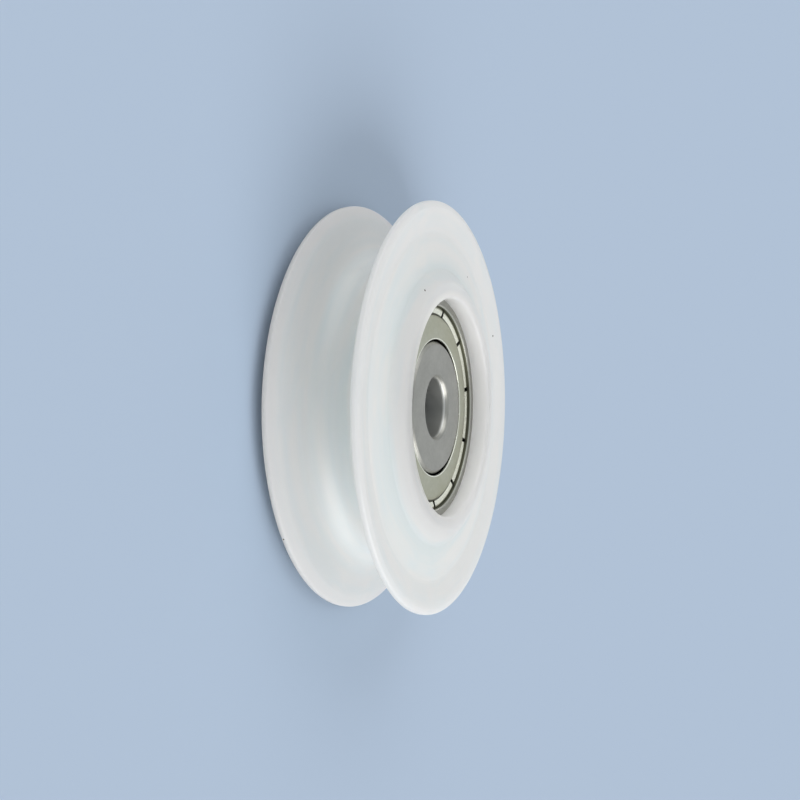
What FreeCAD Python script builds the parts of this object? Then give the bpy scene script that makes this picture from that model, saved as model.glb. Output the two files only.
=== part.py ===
import FreeCAD, Part
import math
import os
import re

import Sketcher

# A moulded plastic guide wheel with a deep U groove, carried on a shielded
# deep groove ball bearing. Millimetres, +Z along the axle.
# The origin is on the axis, in the plane of the lower hub lip.

document = FreeCAD.newDocument("groove_wheel")

# Driving sizes: cell name, number, what it measures
SIZES = [
    ("bearing_bore", 5.0, "bore of the bearing"),
    ("bearing_width", 6.0, "width of both rings"),
    ("groove_wall", 2.9, "plastic between the bearing and the bottom of the groove"),
    ("groove_depth", 4.6, "from the edge of the wheel to the bottom of the groove"),
    ("groove_radius", 2.3, "radius of the U at the bottom"),
    ("flank_angle", 16.0, "lean of each flank, in degrees"),
    ("flank_round", 0.3, "rounding where flank and mouth bevel meet"),
    ("mouth_bevel", 0.85, "radial width of the bevel at the mouth of the groove"),
    ("mouth_rise", 0.4865, "rise of that bevel along the axle"),
    ("rim_land", 0.525, "from the rim face to the inner corner of the rim"),
    ("land_round", 0.12, "rounding of the inner corner of the rim"),
    ("rim_bevel", 0.1, "fall of the rim face from its crest to the edge"),
    ("rim_crest", 0.5, "radial distance from the edge to the crest of the rim"),
    ("rim_round", 0.2, "rounding of the outer corner of the rim"),
    ("crest_round", 0.3, "rounding of the crest of the rim"),
    ("rim_slope", 2.6, "radial distance from the edge to the web floor"),
    ("dish_depth", 0.5, "depth of the web floor below the rim face"),
    ("dish_rise", 0.3, "rise of the web floor towards the hub"),
    ("dish_round", 1.0, "rounding at the outer edge of the web floor"),
    ("boss_width", 2.0, "radial distance from the bearing to the foot of the boss"),
    ("boss_foot_round", 0.5, "rounding at the foot of the hub boss"),
    ("boss_crown", 0.8, "radial distance from the bearing to the boss's shoulder"),
    ("boss_round", 0.5, "rounding of the boss's shoulder"),
    ("boss_fall", 0.1, "fall of the boss face from the lip to the shoulder"),
    ("lip_height", 0.78, "height of the hub lip above the rim face"),
    ("lip_overhang", 0.37, "how far the lip leans in over the bearing"),
    ("lip_grip", 0.12, "how far the plastic wraps in over the bearing's bevel"),
    ("lip_round", 0.12, "rounding of the lip's edge"),
    ("inner_wall", 2.27, "inner ring between its bore and its raceway"),
    ("outer_wall", 1.17, "outer ring between its raceway and the outside"),
    ("outer_chamfer", 0.3, "outside corner of the outer ring"),
    ("outer_shoulder", 0.73, "height of the outer ring's land over its raceway"),
    ("face_width", 0.95, "radial width of the outer ring's face"),
    ("recess_bevel", 0.11, "bevel at the mouth of the shield's recess"),
    ("snap_depth", 0.08, "depth of the snap groove in the recess"),
    ("snap_height", 0.48, "height of the shield's seat in the snap groove"),
    ("snap_relief", 0.08, "room over the shield's curl in the snap groove"),
    ("inner_shoulder", 0.76, "height of the inner ring's land over its raceway"),
    ("inner_chamfer", 0.25, "outside corner of the inner ring"),
    ("lead_radial", 0.27, "radial size of the rounded bore entry"),
    ("lead_depth", 0.53, "depth of the rounded bore entry"),
    ("ball_count", 7, "balls in the bearing"),
    ("ball_diameter", 3.5, "diameter of each ball"),
    ("race_clearance", 0.03, "gap between ball and raceway at the bottom"),
    ("race_relief", 0.07, "raceway radius beyond that of the ball"),
    ("cage_sheet", 0.25, "thickness of the cage sheet"),
    ("cage_clearance", 0.08, "gap between ball and cage pocket"),
    ("cage_band", 1.35, "radial width of the cage band"),
    ("rivet_shank", 0.6, "diameter of the rivet shanks"),
    ("rivet_head", 1.0, "diameter of the rivet heads"),
    ("rivet_head_height", 0.22, "height of each rivet head"),
    ("shield_sheet", 0.2, "thickness of the shield sheet"),
    ("shield_gap", 0.19, "running gap between shield and inner ring"),
    ("shield_recess", 0.06, "depth of the shield's face below the ring face"),
    ("shield_fall", 0.15, "fall of the shield's face towards its bend"),
    ("bend_width", 0.49, "radial width of the rounded bend down to the crease"),
    ("bend_radius", 0.65, "radius of that bend"),
    ("band_width", 0.42, "radial width of the curled rim's top"),
    ("band_recess", 0.41, "depth of the crease inside the curled rim"),
    ("band_rise", 0.11, "rise of the curled rim from the crease"),
    ("band_gap", 0.24, "from the curled rim's top to the outer ring"),
    ("curl_radius", 0.26, "outer radius of the curl"),
    ("curl_foot", 0.1, "rounding at the foot of the curl"),
    ("curl_lap", 0.6, "radial length of the leg curled under"),
    ("notch_count", 12, "notches round the curled rim"),
    ("notch_width", 0.26, "width of each notch"),
    ("notch_angle", 11.4, "direction of the first notch, in degrees"),
]
ALIASES = {alias for alias, number, note in SIZES}

sizes = document.addObject("Spreadsheet::Sheet", "sizes")
for row, (alias, number, note) in enumerate(SIZES, start=1):
    sizes.set(f"A{row}", alias)
    sizes.set(f"B{row}", str(number))
    sizes.set(f"C{row}", note)
    sizes.setAlias(f"B{row}", alias)
document.recompute()

# Radii and heights above the middle plane that several pieces share
SEAT = "(bearing_bore / 2 + inner_wall + ball_diameter + 2 * race_clearance + outer_wall)"
RING_FACE = "(bearing_width / 2)"
GROOVE_BOTTOM = f"({SEAT} + groove_wall)"
WHEEL_EDGE = f"({GROOVE_BOTTOM} + groove_depth)"
LEAN = "(flank_angle * 1deg)"
FLANK_FOOT = f"({GROOVE_BOTTOM} + groove_radius * (1 - sin{LEAN}))"
FLANK_FOOT_HEIGHT = f"(groove_radius * cos{LEAN})"
FLANK_HEAD = f"({WHEEL_EDGE} - mouth_bevel)"
FLANK_HEAD_HEIGHT = f"({FLANK_FOOT_HEIGHT} + ({FLANK_HEAD} - {FLANK_FOOT}) * tan{LEAN})"
RIM_FACE = f"({FLANK_HEAD_HEIGHT} + mouth_rise + rim_land)"
HALF_WIDTH = f"({RIM_FACE} + lip_height)"
PITCH = f"({SEAT} - outer_wall - race_clearance - ball_diameter / 2)"
INNER_RACE = f"({PITCH} - ball_diameter / 2 - race_clearance)"
OUTER_RACE = f"({PITCH} + ball_diameter / 2 + race_clearance)"
RACE_RADIUS = "(ball_diameter / 2 + race_relief)"
INNER_LAND = f"({INNER_RACE} + inner_shoulder)"
OUTER_LAND = f"({OUTER_RACE} - outer_shoulder)"
RECESS = f"({SEAT} - face_width)"
SNAP = f"({RECESS} + snap_depth)"
BAND_LOW = f"({RING_FACE} - band_recess)"
BAND_HIGH = f"({BAND_LOW} + band_rise)"
SNAP_TOP = f"({BAND_HIGH} - shield_sheet)"
LEDGE = f"({SNAP_TOP} - snap_height + shield_sheet / 2)"
POCKET_INSIDE = "(ball_diameter / 2 + cage_clearance)"
POCKET_OUTSIDE = f"({POCKET_INSIDE} + cage_sheet)"


def bound(expression):
    """Point every size name in an expression at its cell."""
    def place(word):
        name = word.group(0)
        return f"sizes.{name}" if name in ALIASES else name
    return re.sub(r"[a-z_]+", place, expression)


def value(expression):
    """The number that an expression has now."""
    result = sizes.evalExpression(bound(expression))
    return float(getattr(result, "Value", result))


def new_body(name):
    """A body that stands with its middle plane at half the overall width."""
    body = document.addObject("PartDesign::Body", name)
    body.Label = name
    body.setExpression(".Placement.Base.z", bound(HALF_WIDTH))
    return body


def new_sketch(body, name, role):
    """A sketch on one of the body's own origin planes."""
    sketch = body.newObject("Sketcher::SketchObject", name)
    plane = next(item for item in body.Origin.OriginFeatures if item.Role == role)
    sketch.AttachmentSupport = [(plane, "")]
    sketch.MapMode = "FlatFace"
    return sketch


def arc_between(start, end, radius, turn):
    """The short arc from start to end. turn is 1 with its centre on the left."""
    middle = (start + end) * 0.5
    chord = end - start
    rise = math.sqrt(max(radius ** 2 - (chord.Length / 2) ** 2, 0.0))
    left = FreeCAD.Vector(-chord.y, chord.x, 0).normalize()
    centre = middle + left * (rise * turn)
    away = (middle - centre).normalize() if rise > 1e-9 else left * -turn
    return Part.Arc(start, centre + away * radius, end)


def draw_outline(sketch, corners):
    """A closed outline of lines and arcs through corners.

    Each corner is its radius, its height and the edge that leaves it: None for
    a line, or the radius of an arc and the side of its centre.
    """
    points = [FreeCAD.Vector(value(radius), value(height), 0) for radius, height, edge in corners]
    ends = []
    for index, (radius, height, edge) in enumerate(corners):
        start = points[index]
        end = points[(index + 1) % len(points)]
        if edge is None:
            geometry = sketch.addGeometry(Part.LineSegment(start, end))
            ends.append((geometry, 1, 2))
            continue
        size, turn = edge
        geometry = sketch.addGeometry(arc_between(start, end, value(size), turn))
        ends.append((geometry, 1, 2) if turn > 0 else (geometry, 2, 1))
        curve = sketch.addConstraint(Sketcher.Constraint("Radius", geometry, value(size)))
        sketch.renameConstraint(curve, f"curve_{index}")
        sketch.setExpression(f"Constraints.curve_{index}", bound(size))
    for index, (radius, height, edge) in enumerate(corners):
        geometry, first, last = ends[index]
        following, begin, finish = ends[(index + 1) % len(ends)]
        sketch.addConstraint(Sketcher.Constraint("Coincident", geometry, last, following, begin))
        across = sketch.addConstraint(
            Sketcher.Constraint("DistanceX", -1, 1, geometry, first, points[index].x))
        up = sketch.addConstraint(
            Sketcher.Constraint("DistanceY", -1, 1, geometry, first, points[index].y))
        sketch.renameConstraint(across, f"radius_{index}")
        sketch.renameConstraint(up, f"height_{index}")
        sketch.setExpression(f"Constraints.radius_{index}", bound(radius))
        sketch.setExpression(f"Constraints.height_{index}", bound(height))


def both_halves(upper):
    """The corners of the upper half, then the same corners below the middle."""
    lower = []
    for index in range(len(upper) - 1, -1, -1):
        radius, height, edge = upper[index]
        leaving = upper[index - 1][2] if index else None
        lower.append((radius, f"-({height})", leaving))
    return upper + lower


def revolve(body, name, corners):
    """Turn an outline once round the axis."""
    sketch = new_sketch(body, f"{name}_outline", "XZ_Plane")
    draw_outline(sketch, corners)
    turned = body.newObject("PartDesign::Revolution", name)
    turned.Profile = sketch
    turned.ReferenceAxis = (sketch, ["V_Axis"])
    turned.Angle = 360
    document.recompute()
    return turned


def edges_at(shape, radius, height):
    """Names of the circular edges with this radius, on both faces."""
    found = []
    for number, edge in enumerate(shape.Edges, start=1):
        if not isinstance(edge.Curve, Part.Circle):
            continue
        same_radius = abs(edge.Curve.Radius - radius) < 1e-4
        if same_radius and abs(abs(edge.Curve.Center.z) - abs(height)) < 1e-4:
            found.append(f"Edge{number}")
    return found


def round_edges(body, name, size, corner):
    """Fillet the two edges that a corner of the outline makes."""
    radius, height = corner[0], corner[1]
    base = body.Tip
    names = edges_at(base.Shape, value(radius), value(height))
    if not names:
        raise RuntimeError(f"{name}: no edge at this corner")
    fillet = body.newObject("PartDesign::Fillet", name)
    fillet.Base = (base, names)
    fillet.setExpression("Radius", bound(size))
    document.recompute()


# The wheel is one moulding: rim, dished web, hub boss and snap lips
def build_wheel():
    wrap_height = f"{RING_FACE} - outer_chamfer"
    lip = (f"{SEAT} - lip_overhang", HALF_WIDTH, None)
    boss = (f"{SEAT} + boss_crown", f"{HALF_WIDTH} - boss_fall", None)
    boss_foot = (f"{SEAT} + boss_width", f"{RIM_FACE} - dish_depth + dish_rise", None)
    dish = (f"{WHEEL_EDGE} - rim_slope", f"{RIM_FACE} - dish_depth", None)
    crest = (f"{WHEEL_EDGE} - rim_crest", RIM_FACE, None)
    corner = (WHEEL_EDGE, f"{RIM_FACE} - rim_bevel", None)
    land = (WHEEL_EDGE, f"{RIM_FACE} - rim_land", None)
    flank = (FLANK_HEAD, FLANK_HEAD_HEIGHT, None)
    upper = [
        (SEAT, wrap_height, None),
        (f"{SEAT} - lip_grip", f"{wrap_height} + lip_grip", None),
        lip, boss, boss_foot, dish, crest, corner, land, flank,
        (FLANK_FOOT, FLANK_FOOT_HEIGHT, ("groove_radius", 1)),
    ]
    wheel = new_body("pulley_wheel")
    revolve(wheel, "wheel_moulding", both_halves(upper))
    round_edges(wheel, "lip_rounding", "lip_round", lip)
    round_edges(wheel, "boss_rounding", "boss_round", boss)
    round_edges(wheel, "boss_foot_rounding", "boss_foot_round", boss_foot)
    round_edges(wheel, "dish_rounding", "dish_round", dish)
    round_edges(wheel, "crest_rounding", "crest_round", crest)
    round_edges(wheel, "rim_rounding", "rim_round", corner)
    round_edges(wheel, "land_rounding", "land_round", land)
    round_edges(wheel, "flank_rounding", "flank_round", flank)
    return wheel


# The outer ring has its raceway inside and a stepped recess for each shield
def build_outer_ring():
    race_centre = f"({OUTER_RACE} - {RACE_RADIUS})"
    race_edge = f"sqrt({RACE_RADIUS} ^ 2 - ({OUTER_LAND} - {race_centre}) ^ 2)"
    upper = [
        (SEAT, f"{RING_FACE} - outer_chamfer", None),
        (f"{SEAT} - outer_chamfer", RING_FACE, None),
        (f"{RECESS} + recess_bevel", RING_FACE, None),
        (RECESS, f"{RING_FACE} - recess_bevel", None),
        (RECESS, f"{SNAP_TOP} + snap_relief + snap_depth", None),
        (SNAP, f"{SNAP_TOP} + snap_relief", None),
        (SNAP, LEDGE, None),
        (OUTER_LAND, LEDGE, None),
        (OUTER_LAND, race_edge, (RACE_RADIUS, -1)),
    ]
    ring = new_body("bearing_outer_ring")
    revolve(ring, "outer_ring_turning", both_halves(upper))
    return ring


# The inner ring has a rounded bore entry at each end and the inner raceway
def build_inner_ring():
    race_centre = f"({INNER_RACE} + {RACE_RADIUS})"
    race_edge = f"sqrt({RACE_RADIUS} ^ 2 - ({race_centre} - {INNER_LAND}) ^ 2)"
    lead = "((lead_radial ^ 2 + lead_depth ^ 2) / (2 * lead_radial))"
    upper = [
        (INNER_LAND, race_edge, None),
        (INNER_LAND, f"{RING_FACE} - inner_chamfer", None),
        (f"{INNER_LAND} - inner_chamfer", RING_FACE, None),
        ("bearing_bore / 2 + lead_radial", RING_FACE, (lead, 1)),
        ("bearing_bore / 2", f"{RING_FACE} - lead_depth", None),
    ]
    corners = both_halves(upper)
    radius, height, edge = corners[-1]
    corners[-1] = (radius, height, (RACE_RADIUS, -1))
    ring = new_body("bearing_inner_ring")
    revolve(ring, "inner_ring_turning", corners)
    return ring


# Each shield is one stamped sheet: a raised face, a bend down to a crease and a notched curl
def build_shield(name, over):
    bore = f"{INNER_LAND} + shield_gap"
    face = f"{RING_FACE} - shield_recess"
    band_outer = f"({RECESS} - band_gap)"
    band_inner = f"({band_outer} - band_width)"
    bend = f"{band_inner} - bend_width"
    corners = [
        (bore, f"{face} - shield_sheet", None),
        (bend, f"{face} - shield_fall - shield_sheet", ("bend_radius", -1)),
        (band_inner, f"{BAND_LOW} - shield_sheet", None),
        (f"{SNAP} - shield_sheet - curl_foot", f"{BAND_HIGH} - shield_sheet", None),
        (f"{SNAP} - shield_sheet", f"{LEDGE} + shield_sheet", None),
        (f"{SNAP} - curl_lap", f"{LEDGE} + shield_sheet", None),
        (f"{SNAP} - curl_lap", LEDGE, None),
        (f"{SNAP} - curl_foot", LEDGE, ("curl_foot", 1)),
        (SNAP, f"{LEDGE} + curl_foot", None),
        (SNAP, SNAP_TOP, ("curl_radius", 1)),
        (band_outer, BAND_HIGH, None),
        (band_inner, BAND_LOW, ("bend_radius", 1)),
        (bend, f"{face} - shield_fall", None),
        (bore, face, None),
    ]
    shield = new_body(name)
    revolve(shield, f"{name}_stamping", corners)
    sketch = new_sketch(shield, f"{name}_notch_outline", "XY_Plane")
    near = f"({band_inner} - notch_width / 2)"
    far = f"({SNAP} + notch_width)"
    draw_outline(sketch, [
        turned(near, "(-notch_width / 2)"),
        turned(far, "(-notch_width / 2)"),
        turned(far, "(notch_width / 2)"),
        turned(near, "(notch_width / 2)"),
    ])
    notch = shield.newObject("PartDesign::Pocket", f"{name}_notch")
    notch.Profile = sketch
    notch.Type = "ThroughAll"
    notch.Midplane = True
    document.recompute()
    pattern = shield.newObject("PartDesign::PolarPattern", f"{name}_notches")
    pattern.Originals = [notch]
    pattern.Axis = (sketch, ["N_Axis"])
    pattern.Angle = 360
    pattern.setExpression("Occurrences", bound("notch_count"))
    shield.Tip = pattern
    if over:
        shield.Placement = FreeCAD.Placement(
            FreeCAD.Vector(), FreeCAD.Rotation(FreeCAD.Vector(1, 0, 0), 180))
        shield.setExpression(".Placement.Base.z", bound(HALF_WIDTH))
    document.recompute()
    return shield


def turned(along, across):
    """A sketch corner given along and across the direction of the first notch."""
    angle = "notch_angle * 1deg"
    return (
        f"{along} * cos({angle}) - {across} * sin({angle})",
        f"{along} * sin({angle}) + {across} * cos({angle})",
        None,
    )


def on_pitch_circle(piece, share):
    """Place a piece on the pitch circle, at a share of a turn."""
    turn = f"({share} * 360deg)"
    piece.setExpression(".Placement.Base.x", bound(f"{PITCH} * cos{turn}"))
    piece.setExpression(".Placement.Base.y", bound(f"{PITCH} * sin{turn}"))


def cylinder(name, radius, height, base="0"):
    piece = document.addObject("Part::Cylinder", name)
    piece.setExpression("Radius", bound(radius))
    piece.setExpression("Height", bound(height))
    piece.setExpression(".Placement.Base.z", bound(base))
    return piece


def sphere(name, radius, share):
    piece = document.addObject("Part::Sphere", name)
    piece.setExpression("Radius", bound(radius))
    on_pitch_circle(piece, share)
    return piece


# The balls stand evenly round the pitch circle, the first one on +X
def build_balls():
    balls = []
    for number in range(BALLS):
        ball = sphere(f"ball_{number + 1}", "ball_diameter / 2", f"{number} / {BALLS}")
        ball.setExpression(".Placement.Base.z", bound(HALF_WIDTH))
        balls.append(ball)
    return balls


# Each cage half is a flat ribbon pressed into a pocket over every ball
def build_cage_half(name, over):
    outside = cylinder(f"{name}_outside", f"{PITCH} + cage_band / 2", POCKET_OUTSIDE)
    inside = cylinder(f"{name}_inside", f"{PITCH} - cage_band / 2", POCKET_OUTSIDE)
    band = document.addObject("Part::Cut", f"{name}_band")
    band.Base = outside
    band.Tool = inside
    ribbon = cylinder(f"{name}_ribbon", f"{PITCH} + cage_band", "cage_sheet")
    pressed = document.addObject("Part::MultiFuse", f"{name}_pressed")
    pockets = document.addObject("Part::MultiFuse", f"{name}_pockets")
    domes = []
    hollows = []
    for number in range(BALLS):
        share = f"{number} / {BALLS}"
        domes.append(sphere(f"{name}_dome_{number + 1}", POCKET_OUTSIDE, share))
        hollows.append(sphere(f"{name}_hollow_{number + 1}", POCKET_INSIDE, share))
        hole = cylinder(f"{name}_hole_{number + 1}", "rivet_shank / 2", "cage_sheet")
        on_pitch_circle(hole, between_balls(number))
        hollows.append(hole)
    pressed.Shapes = [ribbon] + domes
    pockets.Shapes = hollows
    sheet = document.addObject("Part::MultiCommon", f"{name}_sheet")
    sheet.Shapes = [pressed, band]
    half = document.addObject("Part::Cut", name)
    half.Label = name
    half.Base = sheet
    half.Tool = pockets
    if over:
        half.Placement = FreeCAD.Placement(
            FreeCAD.Vector(), FreeCAD.Rotation(FreeCAD.Vector(1, 0, 0), 180))
    half.setExpression(".Placement.Base.z", bound(HALF_WIDTH))
    return half


def between_balls(number):
    """The share of a turn halfway between a ball and the next."""
    return f"({number} + 0.5) / {BALLS}"


# One rivet between each two balls holds the cage halves together
def build_rivets():
    rivets = []
    for number in range(BALLS):
        shank = cylinder(f"rivet_{number + 1}_shank", "rivet_shank / 2",
                         "2 * cage_sheet", "-cage_sheet")
        top = cylinder(f"rivet_{number + 1}_top", "rivet_head / 2",
                       "rivet_head_height", "cage_sheet")
        tail = cylinder(f"rivet_{number + 1}_tail", "rivet_head / 2",
                        "rivet_head_height", "-cage_sheet - rivet_head_height")
        rivet = document.addObject("Part::MultiFuse", f"rivet_{number + 1}")
        for piece in (shank, top, tail):
            on_pitch_circle(piece, between_balls(number))
        rivet.Shapes = [shank, top, tail]
        rivets.append(rivet)
    group = document.addObject("Part::Compound", "cage_rivets")
    group.Label = "cage_rivets"
    group.Links = rivets
    group.setExpression(".Placement.Base.z", bound(HALF_WIDTH))
    return group


def check_document(parts):
    """Stop if any object failed or any piece has no sound shape."""
    for item in document.Objects:
        if {"Invalid", "Error"} & set(item.State):
            raise RuntimeError(f"{item.Name} failed to compute")
    for part in parts:
        if part.Shape.isNull() or not part.Shape.isValid():
            raise RuntimeError(f"{part.Label} has no valid shape")


BALLS = int(value("ball_count"))
parts = [
    build_wheel(),
    build_outer_ring(),
    build_inner_ring(),
    build_shield("shield_front", False),
    build_shield("shield_back", True),
    build_cage_half("cage_front", False),
    build_cage_half("cage_back", True),
    build_rivets(),
]
parts += build_balls()
document.recompute()
check_document(parts)
os.makedirs("parts", exist_ok=True)
for part in parts:
    part.Shape.exportStep(f"parts/{part.Label}.step")
    box = part.Shape.BoundBox
    print(part.Label, len(part.Shape.Solids), "solids", round(part.Shape.Volume, 3),
          [round(number, 3) for number in (box.XMax, box.YMax, box.ZMin, box.ZMax)])
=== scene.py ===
import math

import bmesh
import bpy
from bpy.props import FloatProperty, FloatVectorProperty, IntProperty, PointerProperty
from mathutils import Matrix, Vector


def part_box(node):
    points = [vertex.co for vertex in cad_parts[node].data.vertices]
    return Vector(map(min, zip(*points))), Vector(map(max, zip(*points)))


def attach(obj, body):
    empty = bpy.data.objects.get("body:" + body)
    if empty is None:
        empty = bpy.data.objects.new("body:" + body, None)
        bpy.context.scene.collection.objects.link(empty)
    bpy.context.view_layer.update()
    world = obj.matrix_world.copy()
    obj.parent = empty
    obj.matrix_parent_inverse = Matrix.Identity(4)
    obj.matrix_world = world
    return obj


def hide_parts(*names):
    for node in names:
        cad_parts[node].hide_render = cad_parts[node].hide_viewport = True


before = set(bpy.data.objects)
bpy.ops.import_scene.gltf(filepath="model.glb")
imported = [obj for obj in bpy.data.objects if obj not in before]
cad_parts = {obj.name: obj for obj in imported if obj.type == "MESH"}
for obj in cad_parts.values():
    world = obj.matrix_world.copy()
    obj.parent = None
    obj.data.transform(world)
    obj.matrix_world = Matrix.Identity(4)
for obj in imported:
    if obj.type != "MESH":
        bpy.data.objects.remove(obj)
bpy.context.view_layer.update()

bl_info = {
    "name": "U groove guide wheel",
    "version": (1, 0, 0),
    "blender": (4, 5, 0),
    "location": "3D View > Sidebar > U groove wheel",
    "description": "A milky plastic guide wheel on a shielded ball bearing",
    "category": "Object",
}

MM = 0.001
TURN = 2.0 * math.pi

ROUND_STEPS = 192                    # faces round a turned piece
MERGE = 0.0005 * MM                  # vertices closer than this are one
MIRROR_MERGE = 0.001 * MM            # the same, on the plane between the two halves
SHARP_ANGLE = math.radians(34.0)     # edges that turn by more stay crisp
FLOOR_REACH = 60.0                   # metres from the wheel to the floor's edge
SENSOR_WIDTH = 36.0                  # millimetres, as Blender counts them
KEY_WAY = Vector((-0.2, -0.9, 0.4))  # towards each lamp
FILL_WAY = Vector((-0.2, 0.9, 0.4))
RIM_WAY = Vector((0.85, 0.0, 0.5))


def length(name, description, millimetres):
    """A length that the user may change, given in millimetres."""
    return FloatProperty(name=name, description=description, default=millimetres * MM,
                         unit="LENGTH", subtype="DISTANCE", precision=6)


def tint(name, description, red, green, blue):
    """A colour that the user may change, in linear light."""
    return FloatVectorProperty(name=name, description=description, default=(red, green, blue),
                               size=3, min=0.0, max=1.0, subtype="COLOR")


def share(name, description, value):
    """A plain number from nought to one, such as a roughness."""
    return FloatProperty(name=name, description=description, default=value,
                         min=0.0, max=1.0, subtype="FACTOR")


def angle(name, description, degrees):
    """An angle that the user may change, given in degrees."""
    return FloatProperty(name=name, description=description, default=math.radians(degrees),
                         unit="ROTATION", subtype="ANGLE")


def outside_radius(node):
    """The radius of a round CAD node, from its box."""
    low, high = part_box(node)
    return (high[0] - low[0]) / 2.0


def half_height(node):
    """Half of a CAD node's height, from its box."""
    low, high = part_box(node)
    return (high[2] - low[2]) / 2.0


def middle_height():
    """The height of the wheel's middle plane over the floor."""
    low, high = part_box("pulley_wheel")
    return (low[2] + high[2]) / 2.0


class WheelSizes(bpy.types.PropertyGroup):
    """Sizes of the plastic wheel"""
    groove_depth: length("Groove depth", "From the wheel's edge to the groove's bottom", 4.6)
    groove_radius: length("Groove radius", "Radius of the U at the bottom", 2.3)
    flank_angle: angle("Flank angle", "Lean of each flank of the groove", 16.0)
    flank_round: length("Flank round", "Rounding between flank and mouth bevel", 0.3)
    mouth_bevel: length("Mouth bevel", "Radial width of the bevel at the groove's mouth", 0.85)
    mouth_rise: length("Mouth rise", "Rise of that bevel along the axle", 0.4865)
    rim_land: length("Rim land", "From the rim face to the rim's inner corner", 0.525)
    land_round: length("Land round", "Rounding of the rim's inner corner", 0.12)
    rim_bevel: length("Rim bevel", "Fall of the rim face from its crest to the edge", 0.1)
    rim_crest: length("Rim crest", "Radial distance from the edge to the crest", 0.5)
    rim_round: length("Rim round", "Rounding of the rim's outer corner", 0.2)
    crest_round: length("Crest round", "Rounding of the rim's crest", 0.3)
    rim_slope: length("Rim slope", "Radial distance from the edge to the web floor", 2.6)
    dish_depth: length("Dish depth", "Depth of the web floor below the rim face", 0.5)
    dish_rise: length("Dish rise", "Rise of the web floor towards the hub", 0.3)
    dish_round: length("Dish round", "Rounding at the web floor's outer edge", 1.0)
    boss_width: length("Boss width", "From the bearing to the foot of the hub boss", 2.0)
    boss_foot_round: length("Boss foot round", "Rounding at the foot of the boss", 0.5)
    boss_crown: length("Boss crown", "From the bearing to the boss's shoulder", 0.8)
    boss_round: length("Boss round", "Rounding of the boss's shoulder", 0.5)
    boss_fall: length("Boss fall", "Fall of the boss face towards its shoulder", 0.1)
    lip_height: length("Lip height", "Height of the hub lip over the rim face", 0.78)
    lip_overhang: length("Lip overhang", "How far the lip leans in over the bearing", 0.56)
    lip_grip: length("Lip grip", "How far the plastic wraps the bearing's bevel", 0.12)
    lip_round: length("Lip round", "Rounding of the lip's edge", 0.32)


class RingSizes(bpy.types.PropertyGroup):
    """Sizes of the two bearing rings"""
    outer_chamfer: length("Outer chamfer", "Outside corner of the outer ring", 0.3)
    outer_wall: length("Outer wall", "Outer ring between raceway and outside", 1.17)
    outer_shoulder: length("Outer shoulder", "Outer ring's land over its raceway", 0.73)
    face_width: length("Face width", "Radial width of the outer ring's face", 0.95)
    recess_bevel: length("Recess bevel", "Bevel at the mouth of the shield's recess", 0.11)
    snap_depth: length("Snap depth", "Depth of the snap groove in the recess", 0.08)
    snap_height: length("Snap height", "Height of the shield's seat in the snap groove", 0.48)
    snap_relief: length("Snap relief", "Room over the shield's curl", 0.08)
    inner_wall: length("Inner wall", "Inner ring between bore and raceway", 2.27)
    inner_shoulder: length("Inner shoulder", "Inner ring's land over its raceway", 0.76)
    inner_chamfer: length("Inner chamfer", "Outside corner of the inner ring", 0.25)
    lead_radial: length("Lead width", "Radial size of the rounded bore entry", 0.27)
    lead_depth: length("Lead depth", "Depth of the rounded bore entry", 0.53)
    race_radius: length("Raceway radius", "Radius of both raceways", 1.82)
    edge_round: length("Edge round", "Softened edge of the ground steel", 0.035)


class ShieldSizes(bpy.types.PropertyGroup):
    """Sizes of the two stamped shields"""
    sheet: length("Sheet", "Thickness of the sheet", 0.2)
    gap: length("Gap", "Running gap between shield and inner ring", 0.19)
    recess: length("Recess", "Depth of the face below the ring face", 0.06)
    fall: length("Fall", "Fall of the face towards its bend", 0.15)
    bend_width: length("Bend width", "Radial width of the bend down to the crease", 0.49)
    bend_radius: length("Bend radius", "Radius of that bend", 0.65)
    band_width: length("Band width", "Radial width of the curled rim's top", 0.42)
    band_recess: length("Band recess", "Depth of the crease inside the curled rim", 0.41)
    band_rise: length("Band rise", "Rise of the curled rim from the crease", 0.11)
    band_gap: length("Band gap", "From the curled rim's top to the outer ring", 0.24)
    curl_radius: length("Curl radius", "Outer radius of the curl", 0.26)
    curl_foot: length("Curl foot", "Rounding at the foot of the curl", 0.1)
    curl_lap: length("Curl lap", "Radial length of the leg curled under", 0.6)
    notch_count: IntProperty(name="Notches", description="Notches round the curled rim",
                             default=11, min=2)
    notch_width: length("Notch width", "Width of each notch", 0.36)
    notch_angle: angle("Notch angle", "Direction of the first notch", 11.4)


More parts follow.
